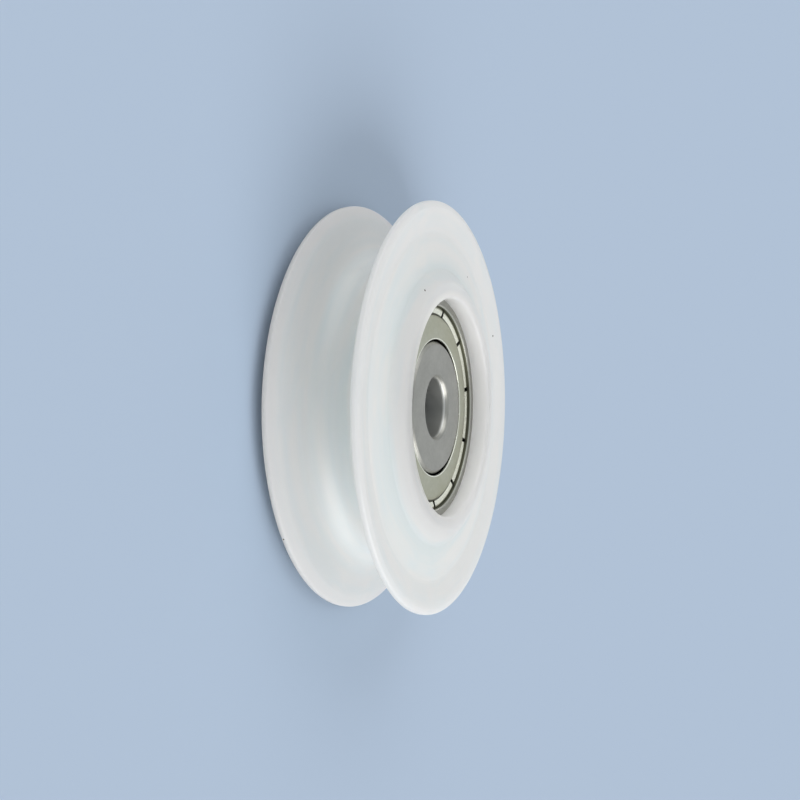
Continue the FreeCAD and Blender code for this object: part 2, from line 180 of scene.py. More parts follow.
class Finishes(bpy.types.PropertyGroup):
    """Colours and gloss of the finishes, among them painted shade, painted light and painted
    highlights
    """
    plastic: tint("Plastic", "Milky nylon", 0.84, 0.85, 0.83)
    plastic_cloud: tint("Plastic cloud", "Clearer, cooler streaks in the nylon", 0.77, 0.83, 0.835)
    # Painted glow: a paler, warmer colour on the thin lips, for light shining through them
    lip_painted_glow: tint("Plastic lip", "Thin lips of the nylon, round the bearing", 0.97, 0.965, 0.91)
    plastic_speck: tint("Plastic speck", "Dark specks in the nylon", 0.10, 0.09, 0.07)
    plastic_gloss: share("Plastic roughness", "Roughness of the satin moulding", 0.34)
    plastic_depth: length("Plastic depth", "How deep light spreads in the nylon", 3.5)
    lip_depth: length("Lip depth", "How deep light spreads in the thin lips", 12.0)
    race_steel: tint("Ring steel", "Ground bearing steel", 0.36, 0.36, 0.325)
    # Painted shade: darker steel on the recess wall
    recess_wall_painted_shade: tint("Wall steel", "Dull turned steel of the recess wall", 0.16, 0.16, 0.125)
    # Painted shade: nearly black steel under the shield's rim
    under_rim_painted_shade: tint("Recess steel", "Oily steel under the shield's rim", 0.06, 0.06, 0.045)
    bore_steel: tint("Inner ring steel", "Ground steel of the inner ring", 0.39, 0.385, 0.35)
    # Painted light: paler steel in the bore, for light from its far end
    bore_painted_light: tint("Bore wall", "Honed steel of the bore", 0.66, 0.66, 0.635)
    shield_steel: tint("Shield steel", "Stamped sheet steel", 0.485, 0.49, 0.40)
    bevel_steel: tint("Bevel steel", "Bevel at the mouth of the recess", 0.50, 0.50, 0.44)
    # Painted highlight: pale steel on the shield's bore edge and curled rim
    shield_painted_highlight: tint("Burnished steel", "Sheet edges rubbed by the die", 0.86, 0.87, 0.76)
    # Painted shade in the shield's crease
    crease_painted_shade: tint("Crease oil", "Old oil in the shield's crease", 0.10, 0.10, 0.075)
    ball_steel: tint("Ball steel", "Polished bearing steel", 0.62, 0.62, 0.62)
    cage_steel: tint("Cage steel", "Pressed sheet steel", 0.42, 0.41, 0.38)


class StudioSizes(bpy.types.PropertyGroup):
    """Camera, lamps and floor"""
    camera_tilt: angle("Camera tilt", "Camera's lean from the axle", 66.7209)
    camera_roll: angle("Camera roll", "Camera's turn about its own axis", 0.7429)
    camera_side: length("Camera side", "Camera's shift along its own X", -0.368)
    camera_rise: length("Camera rise", "Camera's shift along its own Y", 0.594)
    camera_distance: length("Camera distance", "From the wheel's middle to the lens", 80.945)
    camera_lens: FloatProperty(name="Lens", description="Focal length in millimetres",
                               default=42.817, min=1.0, subtype="DISTANCE_CAMERA")
    floor: tint("Floor", "Pale floor as the camera sees it", 0.515, 0.631, 0.791)
    floor_bounce: tint("Floor bounce", "Floor as the object's light sees it", 0.62, 0.63, 0.64)
    backdrop: tint("Backdrop", "Backdrop over the floor, which the steel mirrors", 0.62, 0.65, 0.68)
    ambient: share("Ambient", "Strength of the light from all round", 0.46)
    lamp_width: angle("Lamp width", "How wide each soft lamp looks from the wheel", 60.0)
    key_strength: FloatProperty(name="Key strength", description="Soft lamp below the picture",
                                default=2.05, min=0.0)
    fill_strength: FloatProperty(name="Fill strength", description="Soft lamp above the picture",
                                 default=0.9, min=0.0)
    rim_strength: FloatProperty(name="Rim strength", description="Soft lamp behind the wheel",
                                default=0.10, min=0.0)


class Outline:
    """A wire on the XZ plane, drawn corner by corner and then spun round the axle."""

    def __init__(self):
        self.mesh = bmesh.new()
        self.last = None
        self.corners = []

    def line_to(self, radius, height, rounding=0.0):
        """Draws a straight run to a corner. A rounded corner is bevelled by soften()."""
        point = self.mesh.verts.new((radius, 0.0, height))
        if self.last is not None:
            self.mesh.edges.new((self.last, point))
        self.last = point
        if rounding > 0.0:
            self.corners.append((point, rounding))

    def arc_to(self, radius, height, bend, clockwise=False, steps=10):
        """Draws an arc of radius bend to a point, seen with X to the right and Z up."""
        start = self.last.co.copy()
        end = Vector((radius, 0.0, height))
        chord = end - start
        left = Vector((-chord.z, 0.0, chord.x)).normalized()
        if clockwise:
            left.negate()
        half = chord.length / 2.0
        centre = (start + end) / 2.0 + left * math.sqrt(bend ** 2 - half ** 2)
        axis = (0.0, 1.0, 0.0) if clockwise else (0.0, -1.0, 0.0)
        swept = bmesh.ops.spin(self.mesh, geom=[self.last], cent=centre, axis=axis,
                               angle=2.0 * math.asin(half / bend), steps=steps)
        self.last = swept["geom_last"][0]

    def soften(self, segments=5):
        """Rounds the corners that asked for it, once the outline is drawn."""
        for point, rounding in self.corners:
            ways = [edge.other_vert(point).co - point.co for edge in point.link_edges]
            turn = math.pi - ways[0].normalized().angle(ways[1].normalized())
            bmesh.ops.bevel(self.mesh, geom=[point], offset=rounding * math.tan(turn / 2.0),
                            offset_type="OFFSET", segments=segments, profile=0.5,
                            affect="VERTICES", material=-1)


def finish_mesh(shape, name):
    """Merges, turns the faces outwards and makes the object. An open edge is an error."""
    bmesh.ops.remove_doubles(shape, verts=shape.verts[:], dist=MERGE)
    bmesh.ops.recalc_face_normals(shape, faces=shape.faces[:])
    open_edges = [edge for edge in shape.edges if len(edge.link_faces) != 2]
    if open_edges:
        raise RuntimeError(f"{name} has {len(open_edges)} open edges")
    if shape.calc_volume(signed=True) < 0.0:
        bmesh.ops.reverse_faces(shape, faces=shape.faces[:])
    mesh = bpy.data.meshes.new(name)
    shape.to_mesh(mesh)
    shape.free()
    mesh.shade_smooth()
    mesh.set_sharp_from_angle(angle=SHARP_ANGLE)
    piece = bpy.data.objects.new(name, mesh)
    bpy.context.scene.collection.objects.link(piece)
    shading = piece.modifiers.new("Flat faces stay flat", "WEIGHTED_NORMAL")
    shading.keep_sharp = True
    return piece


def turn_both_halves(outline, name):
    """Mirrors an outline across the middle plane and spins it into a closed ring."""
    outline.soften()
    shape = outline.mesh
    bmesh.ops.mirror(shape, geom=shape.verts[:] + shape.edges[:], matrix=Matrix.Identity(4),
                     merge_dist=MIRROR_MERGE, axis="Z")
    bmesh.ops.spin(shape, geom=shape.verts[:] + shape.edges[:], cent=(0.0, 0.0, 0.0),
                   axis=(0.0, 0.0, 1.0), angle=TURN, steps=ROUND_STEPS, use_merge=True)
    bmesh.ops.translate(shape, verts=shape.verts[:], vec=(0.0, 0.0, middle_height()))
    return finish_mesh(shape, name)


def dress(piece, material):
    """Puts one material on every slot of a piece or CAD node."""
    if not piece.material_slots:
        piece.data.materials.append(material)
    for place in piece.material_slots:
        place.material = material


class Shading:
    """The nodes of one material."""

    def __init__(self, name):
        self.material = bpy.data.materials.new(name)
        self.material.use_nodes = True
        self.tree = self.material.node_tree
        self.surface = self.tree.nodes["Principled BSDF"]
        self.place = self.add("ShaderNodeTexCoord").outputs["Object"]

    def add(self, kind, **settings):
        """Adds a node. Settings are its own properties."""
        node = self.tree.nodes.new(kind)
        for name, value in settings.items():
            setattr(node, name, value)
        return node

    def feed(self, source, target):
        """Joins an output to an input, or sets a plain value."""
        if isinstance(source, bpy.types.NodeSocket):
            self.tree.links.new(source, target)
        else:
            target.default_value = source

    def maths(self, operation, first, second=0.0):
        """One step of arithmetic."""
        node = self.add("ShaderNodeMath", operation=operation)
        self.feed(first, node.inputs[0])
        self.feed(second, node.inputs[1])
        return node.outputs[0]

    def radius(self):
        """Distance from the axle, in metres."""
        flat = self.add("ShaderNodeVectorMath", operation="MULTIPLY")
        self.feed(self.place, flat.inputs[0])
        flat.inputs[1].default_value = (1.0, 1.0, 0.0)
        size = self.add("ShaderNodeVectorMath", operation="LENGTH")
        self.feed(flat.outputs["Vector"], size.inputs[0])
        return size.outputs["Value"]

    def cloud(self, feature, detail=3.0, roughness=0.5):
        """Soft noise from nought to one, with features of about that size."""
        noise = self.add("ShaderNodeTexNoise")
        self.feed(self.place, noise.inputs["Vector"])
        noise.inputs["Scale"].default_value = 1.0 / feature
        noise.inputs["Detail"].default_value = detail
        noise.inputs["Roughness"].default_value = roughness
        return noise.outputs["Fac"]

    def veils(self, width, reach, drift=4.0):
        """Flow streaks of about that width, drawn out round the axle. They drift over reach."""
        parts = self.add("ShaderNodeSeparateXYZ")
        self.feed(self.place, parts.inputs[0])
        drawn = self.add("ShaderNodeCombineXYZ")
        self.feed(self.maths("MULTIPLY", self.radius(), 1.0 / width), drawn.inputs[0])
        self.feed(self.maths("MULTIPLY", parts.outputs[2], 1.0 / width), drawn.inputs[1])
        self.feed(self.maths("MULTIPLY", self.cloud(reach, 1.0), drift), drawn.inputs[2])
        noise = self.add("ShaderNodeTexNoise")
        self.feed(drawn.outputs[0], noise.inputs["Vector"])
        noise.inputs["Scale"].default_value = 1.0
        noise.inputs["Detail"].default_value = 3.0
        return noise.outputs["Fac"]

    def height(self):
        """Distance from the wheel's middle plane, in metres."""
        parts = self.add("ShaderNodeSeparateXYZ")
        self.feed(self.place, parts.inputs[0])
        return self.maths("ABSOLUTE", self.maths("SUBTRACT", parts.outputs[2], middle_height()))

    def rings(self, pitch, detail=2.0):
        """Uneven tool rings round the axle, about that far apart."""
        noise = self.add("ShaderNodeTexNoise", noise_dimensions="1D")
        self.feed(self.maths("MULTIPLY", self.radius(), 1.0 / pitch), noise.inputs["W"])
        noise.inputs["Scale"].default_value = 1.0
        noise.inputs["Detail"].default_value = detail
        return noise.outputs["Fac"]

    def band(self, inner, outer, fade):
        """One between two radii, fading to nought on each side."""
        rise = self.spread(self.radius(), 0.0, 1.0, inner - fade, inner)
        fall = self.spread(self.radius(), 1.0, 0.0, outer, outer + fade)
        return self.maths("MULTIPLY", rise, fall)

    def shade(self, body, inner, outer, height, finish):
        """Paints shade: gives another colour to what lies between two radii and below a height."""
        fade_down = 0.06 * MM
        fade_across = 0.02 * MM
        deep = self.spread(self.height(), 1.0, 0.0, height - fade_down, height)
        amount = self.maths("MULTIPLY", deep, self.band(inner, outer, fade_across))
        return self.blend(amount, body, opaque(finish))

    def touch_up(self, body, roughness, touches):
        """Gives bands of radii another colour and multiplies their roughness."""
        for inner, outer, fade, finish, factor in touches:
            amount = self.band(inner, outer, fade)
            body = self.blend(amount, body, opaque(finish))
            scale = self.spread(amount, 1.0, factor, 0.0, 1.0)
            roughness = self.maths("MULTIPLY", roughness, scale)
        return body, roughness

    def spread(self, source, low, high, start=0.3, stop=0.7):
        """Maps a value between start and stop to low and high. The usual ends suit noise."""
        node = self.add("ShaderNodeMapRange")
        self.feed(source, node.inputs["Value"])
        node.inputs["From Min"].default_value = start
        node.inputs["From Max"].default_value = stop
        node.inputs["To Min"].default_value = low
        node.inputs["To Max"].default_value = high
        return node.outputs["Result"]

    def blend(self, amount, first, second):
        """Mixes two colours."""
        node = self.add("ShaderNodeMix", data_type="RGBA")
        self.feed(amount, node.inputs[0])
        self.feed(first, node.inputs[6])
        self.feed(second, node.inputs[7])
        return node.outputs[2]

    def bump(self, height, depth, strength=1.0, after=None):
        """Raises the surface by a height pattern of that depth in metres."""
        node = self.add("ShaderNodeBump")
        node.inputs["Strength"].default_value = strength
        node.inputs["Distance"].default_value = depth
        self.feed(height, node.inputs["Height"])
        if after is not None:
            self.feed(after, node.inputs["Normal"])
        return node.outputs["Normal"]


def opaque(colour):
    """A colour with full alpha."""
    return (colour[0], colour[1], colour[2], 1.0)


def milky_nylon(finishes):
    """Satin, slightly translucent nylon with faint mould rings and a few specks."""
    speck_pitch = 2.4 * MM
    speck_size = 0.045       # as a share of the pitch
    speck_rarity = 0.62      # places under this share have none
    look = Shading("milky_nylon")
    veils = look.spread(look.veils(width=1.8 * MM, reach=14.0 * MM), 0.0, 1.0,
                        start=0.38, stop=0.62)
    milk = look.blend(veils, opaque(finishes.plastic), opaque(finishes.plastic_cloud))
    seat = outside_radius("bearing_outer_ring")
    lip = (seat - 0.2 * MM, seat + 0.3 * MM)     # over these radii the painted glow on the lips fades out
    boss = (seat + 0.2 * MM, seat + 2.0 * MM)    # and over these light comes to spread less
    thin = look.spread(look.radius(), 1.0, 0.0, *lip)
    depth = look.spread(look.radius(), finishes.lip_depth, finishes.plastic_depth, *boss)
    # The lips' colour is a painted glow of light shining through the thin nylon
    body = look.blend(thin, milk, opaque(finishes.lip_painted_glow))
    specks = look.add("ShaderNodeTexVoronoi", feature="F1")
    look.feed(look.place, specks.inputs["Vector"])
    specks.inputs["Scale"].default_value = 1.0 / speck_pitch
    near = look.maths("LESS_THAN", specks.outputs["Distance"], speck_size)
    picked = look.maths("GREATER_THAN", specks.outputs["Color"], speck_rarity)
    colour = look.blend(look.maths("MULTIPLY", near, picked), body, opaque(finishes.plastic_speck))
    look.feed(colour, look.surface.inputs["Base Color"])
    gloss = finishes.plastic_gloss
    look.feed(look.spread(look.cloud(feature=0.8 * MM), gloss - 0.05, gloss + 0.06),
              look.surface.inputs["Roughness"])
    rings = look.bump(look.rings(pitch=0.22 * MM), depth=0.012 * MM, strength=0.5)
    grain = look.bump(look.cloud(feature=0.12 * MM), depth=0.004 * MM, strength=0.5, after=rings)
    waves = look.bump(look.cloud(feature=3.5 * MM, detail=1.0), depth=0.05 * MM, strength=0.35,
                      after=grain)
    look.feed(waves, look.surface.inputs["Normal"])
    look.surface.inputs["IOR"].default_value = 1.5
    look.surface.inputs["Subsurface Weight"].default_value = 1.0
    look.surface.inputs["Subsurface Radius"].default_value = (1.0, 1.0, 0.95)
    look.feed(depth, look.surface.inputs["Subsurface Scale"])
    return look.material


def ground_steel(name, colour, pitch, low, high, touches=(), shade=None):
    """Turned and ground steel, with its roughness between low and high.

    Each touch is the inner and outer radius of a band, its fade, its colour and what its
    roughness is multiplied by. The shade is painted shade: two radii, the height below which it
    lies, and its colour.
    """
    dulling = 0.84
    ring_stain = 0.35
    look = Shading(name)
    stain = look.spread(look.cloud(feature=1.6 * MM, detail=5.0, roughness=0.6), 0.0, 1.0)
    dull = tuple(part * dulling for part in colour)
    body = look.blend(stain, opaque(colour), opaque(dull))
    rings = look.rings(pitch, detail=4.0)
    body = look.blend(look.spread(rings, 0.0, ring_stain), body, opaque(dull))
    roughness = look.spread(look.cloud(feature=0.25 * MM, detail=4.0), low, high)
    body, roughness = look.touch_up(body, roughness, touches)
    if shade is not None:
        body = look.shade(body, *shade)
    look.feed(body, look.surface.inputs["Base Color"])
    look.surface.inputs["Metallic"].default_value = 1.0
    look.feed(roughness, look.surface.inputs["Roughness"])
    cut = look.bump(rings, depth=0.006 * MM, strength=0.6)
    grain = look.bump(look.cloud(feature=0.09 * MM), depth=0.002 * MM, strength=0.6, after=cut)
    look.feed(grain, look.surface.inputs["Normal"])
    return look.material


def stamped_steel(name, colour, low, high, touches=(), shade=None):
    """Stamped sheet steel with a warm oil film. Touches and shade are as on ground steel."""
    oil = (0.93, 0.92, 0.86)     # what the film leaves of red, green and blue
    look = Shading(name)
    film = look.spread(look.cloud(feature=2.2 * MM, detail=4.0, roughness=0.6), 0.0, 1.0)
    warm = tuple(part * left for part, left in zip(colour, oil))
    body = look.blend(film, opaque(colour), opaque(warm))
    roughness = look.spread(look.cloud(feature=0.35 * MM, detail=4.0), low, high)
    body, roughness = look.touch_up(body, roughness, touches)
    if shade is not None:
        body = look.shade(body, *shade)
    look.feed(body, look.surface.inputs["Base Color"])
    look.surface.inputs["Metallic"].default_value = 1.0
    look.feed(roughness, look.surface.inputs["Roughness"])
    rings = look.bump(look.rings(pitch=0.1 * MM), depth=0.004 * MM, strength=0.5)
    ripple = look.bump(look.cloud(feature=0.9 * MM, detail=2.0), depth=0.012 * MM, strength=0.5,
                       after=rings)
    look.feed(ripple, look.surface.inputs["Normal"])
    return look.material


def polished_steel(finishes):
    """Polished steel of the balls: bright, with a faint haze."""
    look = Shading("polished_ball_steel")
    haze = look.spread(look.cloud(feature=0.6 * MM), 0.0, 0.3)
    body = look.blend(haze, opaque(finishes.ball_steel), opaque(finishes.race_steel))
    look.feed(body, look.surface.inputs["Base Color"])
    look.surface.inputs["Metallic"].default_value = 1.0
    look.feed(look.spread(look.cloud(feature=0.4 * MM), 0.08, 0.16),
              look.surface.inputs["Roughness"])
    return look.material


class OBJECT_OT_u_groove_wheel(bpy.types.Operator):
    """Turns the plastic wheel round the bearing"""
    bl_idname = "object.u_groove_wheel"
    bl_label = "Plastic wheel"

    def execute(self, context):
        sizes = context.scene.wheel_sizes
        rings = context.scene.ring_sizes
        edge = outside_radius("pulley_wheel")
        half = middle_height()
        seat = outside_radius("bearing_outer_ring")
        wrap = half_height("bearing_outer_ring") - rings.outer_chamfer
        rim = half - sizes.lip_height
        land = rim - sizes.rim_land
        bottom = edge - sizes.groove_depth
        foot = bottom + sizes.groove_radius * (1.0 - math.sin(sizes.flank_angle))
        floor = rim - sizes.dish_depth
        draw = Outline()
        draw.line_to(bottom, 0.0)
        draw.arc_to(foot, sizes.groove_radius * math.cos(sizes.flank_angle), sizes.groove_radius,
                    clockwise=True, steps=18)
        draw.line_to(edge - sizes.mouth_bevel, land - sizes.mouth_rise, sizes.flank_round)
        draw.line_to(edge, land, sizes.land_round)
        draw.line_to(edge, rim - sizes.rim_bevel, sizes.rim_round)
        draw.line_to(edge - sizes.rim_crest, rim, sizes.crest_round)
        draw.line_to(edge - sizes.rim_slope, floor, sizes.dish_round)
        draw.line_to(seat + sizes.boss_width, floor + sizes.dish_rise, sizes.boss_foot_round)
        draw.line_to(seat + sizes.boss_crown, half - sizes.boss_fall, sizes.boss_round)
        draw.line_to(seat - sizes.lip_overhang, half, sizes.lip_round)
        draw.line_to(seat - sizes.lip_grip, wrap + sizes.lip_grip)
        draw.line_to(seat, wrap)
        draw.line_to(seat, 0.0)
        piece = turn_both_halves(draw, "wheel_moulding")
        dress(piece, milky_nylon(context.scene.finishes))
        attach(piece, "wheel")
        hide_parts("pulley_wheel")
        return {"FINISHED"}


def shield_seat(context):
    """Where a shield sits: radii from the axle, and heights over the wheel's middle plane."""
    sizes = context.scene.shield_sizes
    rings = context.scene.ring_sizes
    recess = outside_radius("bearing_outer_ring") - rings.face_width
    rim_edge = recess - sizes.band_gap
    crease_height = half_height("bearing_outer_ring") - sizes.band_recess
    rim_height = crease_height + sizes.band_rise
    snap_top = rim_height - sizes.sheet
    return {
        "bore": outside_radius("bearing_inner_ring") + sizes.gap,
        "crease": rim_edge - sizes.band_width,
        "rim_edge": rim_edge,
        "recess": recess,
        "snap": recess + rings.snap_depth,
        "crease_height": crease_height,
        "rim_height": rim_height,
        "snap_top": snap_top,
        "ledge": snap_top - rings.snap_height + sizes.sheet / 2.0,
    }


class OBJECT_OT_u_groove_outer_ring(bpy.types.Operator):
    """Turns the bearing's outer ring with its raceway and shield recesses"""
    bl_idname = "object.u_groove_outer_ring"
    bl_label = "Outer ring"

    def execute(self, context):
        sizes = context.scene.ring_sizes
        outside = outside_radius("bearing_outer_ring")
        face = half_height("bearing_outer_ring")
        seat = shield_seat(context)
        recess = seat["recess"]
        snap = seat["snap"]
        relief = seat["snap_top"] + sizes.snap_relief
        race = outside - sizes.outer_wall
        shoulder = race - sizes.outer_shoulder
        centre = race - sizes.race_radius
        soft = sizes.edge_round
        draw = Outline()
        draw.line_to(outside, 0.0)
        draw.line_to(outside, face - sizes.outer_chamfer, soft)
        draw.line_to(outside - sizes.outer_chamfer, face, soft)
        draw.line_to(recess + sizes.recess_bevel, face, soft)
        draw.line_to(recess, face - sizes.recess_bevel, soft)
        draw.line_to(recess, relief + sizes.snap_depth)
        draw.line_to(snap, relief)
        draw.line_to(snap, seat["ledge"])
        draw.line_to(shoulder, seat["ledge"], soft)
        draw.line_to(shoulder, math.sqrt(sizes.race_radius ** 2 - (shoulder - centre) ** 2))
        draw.arc_to(race, 0.0, sizes.race_radius, clockwise=True)
        piece = turn_both_halves(draw, "outer_ring")
        finishes = context.scene.finishes
        bevel = recess + sizes.recess_bevel
        touches = (
            # Painted shade: a darker band on the recess wall
            (recess - soft, recess + soft / 2.0, soft / 2.0, finishes.recess_wall_painted_shade, 1.0),
            (recess + soft, bevel, soft / 2.0, finishes.bevel_steel, 0.6),
        )
        # Painted shade: the snap groove and ledge under the shield's rim are darkened
        painted_shade_under_rim = (shoulder, snap + soft, seat["rim_height"], finishes.under_rim_painted_shade)
        dress(piece, ground_steel("outer_ring_steel", finishes.race_steel, pitch=0.07 * MM,
                                  low=0.34, high=0.46, touches=touches, shade=painted_shade_under_rim))
        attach(piece, "wheel")
        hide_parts("bearing_outer_ring")
        return {"FINISHED"}


class OBJECT_OT_u_groove_inner_ring(bpy.types.Operator):
    """Turns the bearing's inner ring with its raceway and rounded bore entries"""
    bl_idname = "object.u_groove_inner_ring"
    bl_label = "Inner ring"

    def execute(self, context):
        sizes = context.scene.ring_sizes
        face = half_height("bearing_inner_ring")
        shoulder = outside_radius("bearing_inner_ring")
        race = shoulder - sizes.inner_shoulder
        bore = race - sizes.inner_wall
        centre = race + sizes.race_radius
        lead = (sizes.lead_radial ** 2 + sizes.lead_depth ** 2) / (2.0 * sizes.lead_radial)
        soft = sizes.edge_round
        draw = Outline()
        draw.line_to(race, 0.0)
        draw.arc_to(shoulder, math.sqrt(sizes.race_radius ** 2 - (centre - shoulder) ** 2),
                    sizes.race_radius, clockwise=True)
        draw.line_to(shoulder, face - sizes.inner_chamfer, soft)
        draw.line_to(shoulder - sizes.inner_chamfer, face, soft)
        draw.line_to(bore + sizes.lead_radial, face)
        draw.arc_to(bore, face - sizes.lead_depth, lead)
        draw.line_to(bore, 0.0)
        piece = turn_both_halves(draw, "inner_ring")
        finishes = context.scene.finishes
        # Painted light: the bore wall is paler, for light from the bore's far end
        touches = ((0.0, bore + soft, soft, finishes.bore_painted_light, 1.1),)
        dress(piece, ground_steel("inner_ring_steel", finishes.bore_steel, pitch=0.06 * MM,
                                  low=0.30, high=0.42, touches=touches))
        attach(piece, "inner_race")
        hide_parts("bearing_inner_ring")
        return {"FINISHED"}


def shield_disc(context):
    """The inner part of the shield's outline, from under the crease round the bore and back."""
    sizes = context.scene.shield_sizes
    seat = shield_seat(context)
    face = half_height("bearing_outer_ring") - sizes.recess
    bore = seat["bore"]
    crease = seat["crease"]
    low = seat["crease_height"]
    bend = crease - sizes.bend_width
    draw = Outline()
    draw.line_to(crease, low - sizes.sheet)
    draw.arc_to(bend, face - sizes.fall - sizes.sheet, sizes.bend_radius, steps=7)
    draw.line_to(bore, face - sizes.sheet, sizes.sheet / 8.0)
    draw.line_to(bore, face, sizes.sheet / 5.0)
    draw.line_to(bend, face - sizes.fall)
    draw.arc_to(crease, low, sizes.bend_radius, clockwise=True, steps=7)
    return draw


def shield_tab(context):
    """The curled rim's outline, from the crease round the curl and back under."""
    sizes = context.scene.shield_sizes
    seat = shield_seat(context)
    crease = seat["crease"]
    low = seat["crease_height"]
    high = seat["rim_height"]
    snap = seat["snap"]
    ledge = seat["ledge"]
    sheet = sizes.sheet
    draw = Outline()
    draw.line_to(crease, low)
    draw.line_to(seat["rim_edge"], high)
    draw.arc_to(snap, seat["snap_top"], sizes.curl_radius, clockwise=True, steps=8)
    draw.line_to(snap, ledge + sizes.curl_foot)
    draw.arc_to(snap - sizes.curl_foot, ledge, sizes.curl_foot, clockwise=True, steps=4)
    draw.line_to(snap - sizes.curl_lap, ledge)
    draw.line_to(snap - sizes.curl_lap, ledge + sheet)
    draw.line_to(snap - sheet, ledge + sheet)
    draw.line_to(snap - sheet - sizes.curl_foot, high - sheet)
    draw.line_to(crease, low - sheet)
    return draw


def sweep(shape, geometry, angle_swept, steps):
    """Sweeps a wire round the axle and returns the wire at the far end."""
    swept = bmesh.ops.spin(shape, geom=geometry, cent=(0.0, 0.0, 0.0), axis=(0.0, 0.0, 1.0),
                           angle=angle_swept, steps=steps)
    return swept["geom_last"]


def add_wire(shape, outline):
    """Copies an outline's wire into a shape and returns the new vertices and edges."""
    outline.soften(segments=3)
    wire = bpy.data.meshes.new("wire")
    outline.mesh.to_mesh(wire)
    outline.mesh.free()
    old_verts = len(shape.verts)
    old_edges = len(shape.edges)
    shape.from_mesh(wire)
    bpy.data.meshes.remove(wire)
    shape.verts.ensure_lookup_table()
    shape.edges.ensure_lookup_table()
    return shape.verts[old_verts:] + shape.edges[old_edges:]


def make_shield(context, name, node, side):
    """Spins one shield: curled tabs with a notch between each pair. Side is 1, or -1 below."""
    sizes = context.scene.shield_sizes
    crease = shield_seat(context)["crease"]
    pitch = TURN / sizes.notch_count
    notch = sizes.notch_width / crease
    shape = bmesh.new()
    disc = add_wire(shape, shield_disc(context))
    tab = add_wire(shape, shield_tab(context))
    tab_end = sweep(shape, disc + tab, pitch - notch, 14)
    slack = sizes.sheet / 100.0
    limit = crease + slack
    edge_verts = [item for item in tab_end if isinstance(item, bmesh.types.BMVert)]
    flat_verts = [point for point in edge_verts if point.co.xy.length < limit]
    flat_edges = [item for item in tab_end if isinstance(item, bmesh.types.BMEdge)
                  and all(end.co.xy.length < limit for end in item.verts)]
    crease_verts = [point for point in flat_verts if point.co.xy.length > crease - slack]
    crease_verts.sort(key=lambda point: point.co.z)
    wall = shape.edges.new((crease_verts[0], crease_verts[-1]))
    sweep(shape, flat_verts + flat_edges + [wall], notch, 2)
    bmesh.ops.remove_doubles(shape, verts=shape.verts[:], dist=MERGE)
    bmesh.ops.spin(shape, geom=shape.verts[:] + shape.edges[:] + shape.faces[:],
                   cent=(0.0, 0.0, 0.0), axis=(0.0, 0.0, 1.0), angle=TURN - pitch,
                   steps=sizes.notch_count - 1, use_duplicate=True)
    bmesh.ops.remove_doubles(shape, verts=shape.verts[:], dist=MERGE)
    bmesh.ops.holes_fill(shape, edges=[edge for edge in shape.edges if edge.is_boundary], sides=0)
    bmesh.ops.rotate(shape, verts=shape.verts[:], cent=(0.0, 0.0, 0.0),
                     matrix=Matrix.Rotation(sizes.notch_angle + notch / 2.0, 3, "Z"))
    bmesh.ops.scale(shape, verts=shape.verts[:], vec=(1.0, 1.0, side))
    bmesh.ops.translate(shape, verts=shape.verts[:], vec=(0.0, 0.0, middle_height()))
    piece = finish_mesh(shape, name)
    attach(piece, "wheel")
    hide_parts(node)
    return piece


class OBJECT_OT_u_groove_shields(bpy.types.Operator):
    """Stamps the two shields with their curled and notched rims"""
    bl_idname = "object.u_groove_shields"
    bl_label = "Shields"

    def execute(self, context):
        sizes = context.scene.shield_sizes
        finishes = context.scene.finishes
        seat = shield_seat(context)
        crease = seat["crease"]
        edge = sizes.sheet / 5.0
        touches = (
            # Painted highlights: paler, smoother steel on the shield's bore edge and on the curled
            # rim
            (0.0, seat["bore"] + 2.0 * edge, edge, finishes.shield_painted_highlight, 0.6),
            (crease + edge, seat["rim_edge"], edge, finishes.shield_painted_highlight, 0.6),
            # Painted shade in the shield's crease
            (crease - 3.5 * edge, crease + edge, edge, finishes.crease_painted_shade, 1.0),
        )
        # Painted shade: the shield below its crease is darkened, out to the ring's outside
        painted_shade_under_rim = (crease - edge, outside_radius("bearing_outer_ring"),
                seat["crease_height"] - edge / 2.0, finishes.under_rim_painted_shade)
        steel = stamped_steel("stamped_shield_steel", finishes.shield_steel, low=0.36, high=0.5,
                              touches=touches, shade=painted_shade_under_rim)
        dress(make_shield(context, "front_shield", "shield_front", side=1.0), steel)
        dress(make_shield(context, "back_shield", "shield_back", side=-1.0), steel)
        return {"FINISHED"}


class OBJECT_OT_u_groove_balls_and_cage(bpy.types.Operator):
    """Finishes the balls, the cage halves and their rivets"""
    bl_idname = "object.u_groove_balls_and_cage"
    bl_label = "Balls and cage"

    def execute(self, context):
        finishes = context.scene.finishes
        balls = polished_steel(finishes)
        cage = stamped_steel("pressed_cage_steel", finishes.cage_steel, low=0.3, high=0.45)
        rivets = stamped_steel("rivet_steel", finishes.race_steel, low=0.22, high=0.34)
        for name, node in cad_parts.items():
            if name.startswith("ball_"):
                dress(node, balls)
            elif name == "cage_rivets":
                dress(node, rivets)
            elif name.startswith("cage_"):
                dress(node, cage)
        return {"FINISHED"}


def seen_or_mirrored(tree):
    """One for camera, glossy and transmission rays, and nought for the light on the object."""
    paths = tree.nodes.new("ShaderNodeLightPath")
    total = paths.outputs["Is Camera Ray"]
    for name in ("Is Glossy Ray", "Is Transmission Ray"):
        joined = tree.nodes.new("ShaderNodeMath")
        joined.operation = "MAXIMUM"
        tree.links.new(total, joined.inputs[0])
        tree.links.new(paths.outputs[name], joined.inputs[1])
        total = joined.outputs[0]
    return total


